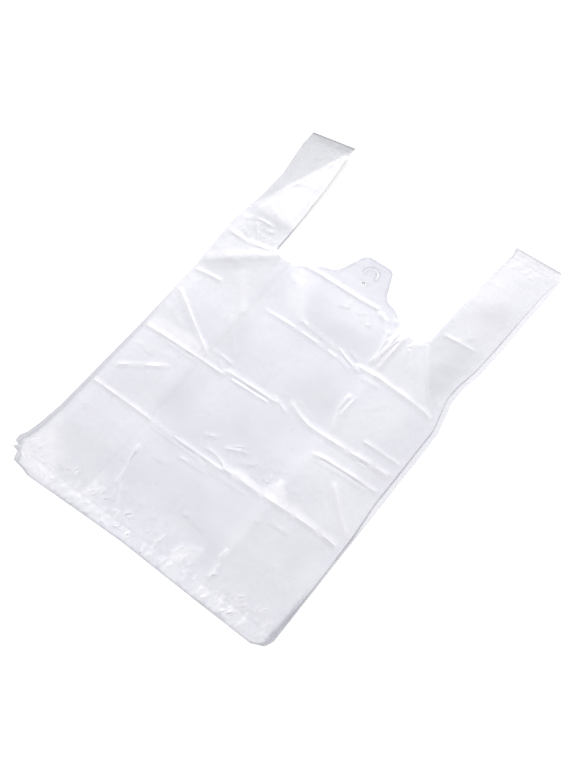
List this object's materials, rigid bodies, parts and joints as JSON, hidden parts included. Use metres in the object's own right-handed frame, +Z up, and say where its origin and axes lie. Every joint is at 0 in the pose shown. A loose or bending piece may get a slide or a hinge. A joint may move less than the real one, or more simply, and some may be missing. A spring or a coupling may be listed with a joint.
{
  "type": "plastic carrier bag",
  "caption": "flat vest-handled carrier bag of thin milky plastic film, gusseted at both sides, heat sealed across the bottom and handle tops, with packing creases and a hanging tab",
  "frame": {"origin": "middle of the bag's footprint, on the surface that its back panel lies on", "axes": "+X across the bag, +Y from the bottom seal to the handle tops, +Z up out of the front panel"},
  "size_m": [0.2686, 0.408, 0.0116],
  "materials": {
    "milky_film": "thin milky polyethylene film, soft gloss, faintly lavender"
  },
  "bodies": {
    "root": {"carrier_bag": "milky_film"}
  },
  "joints": []
}
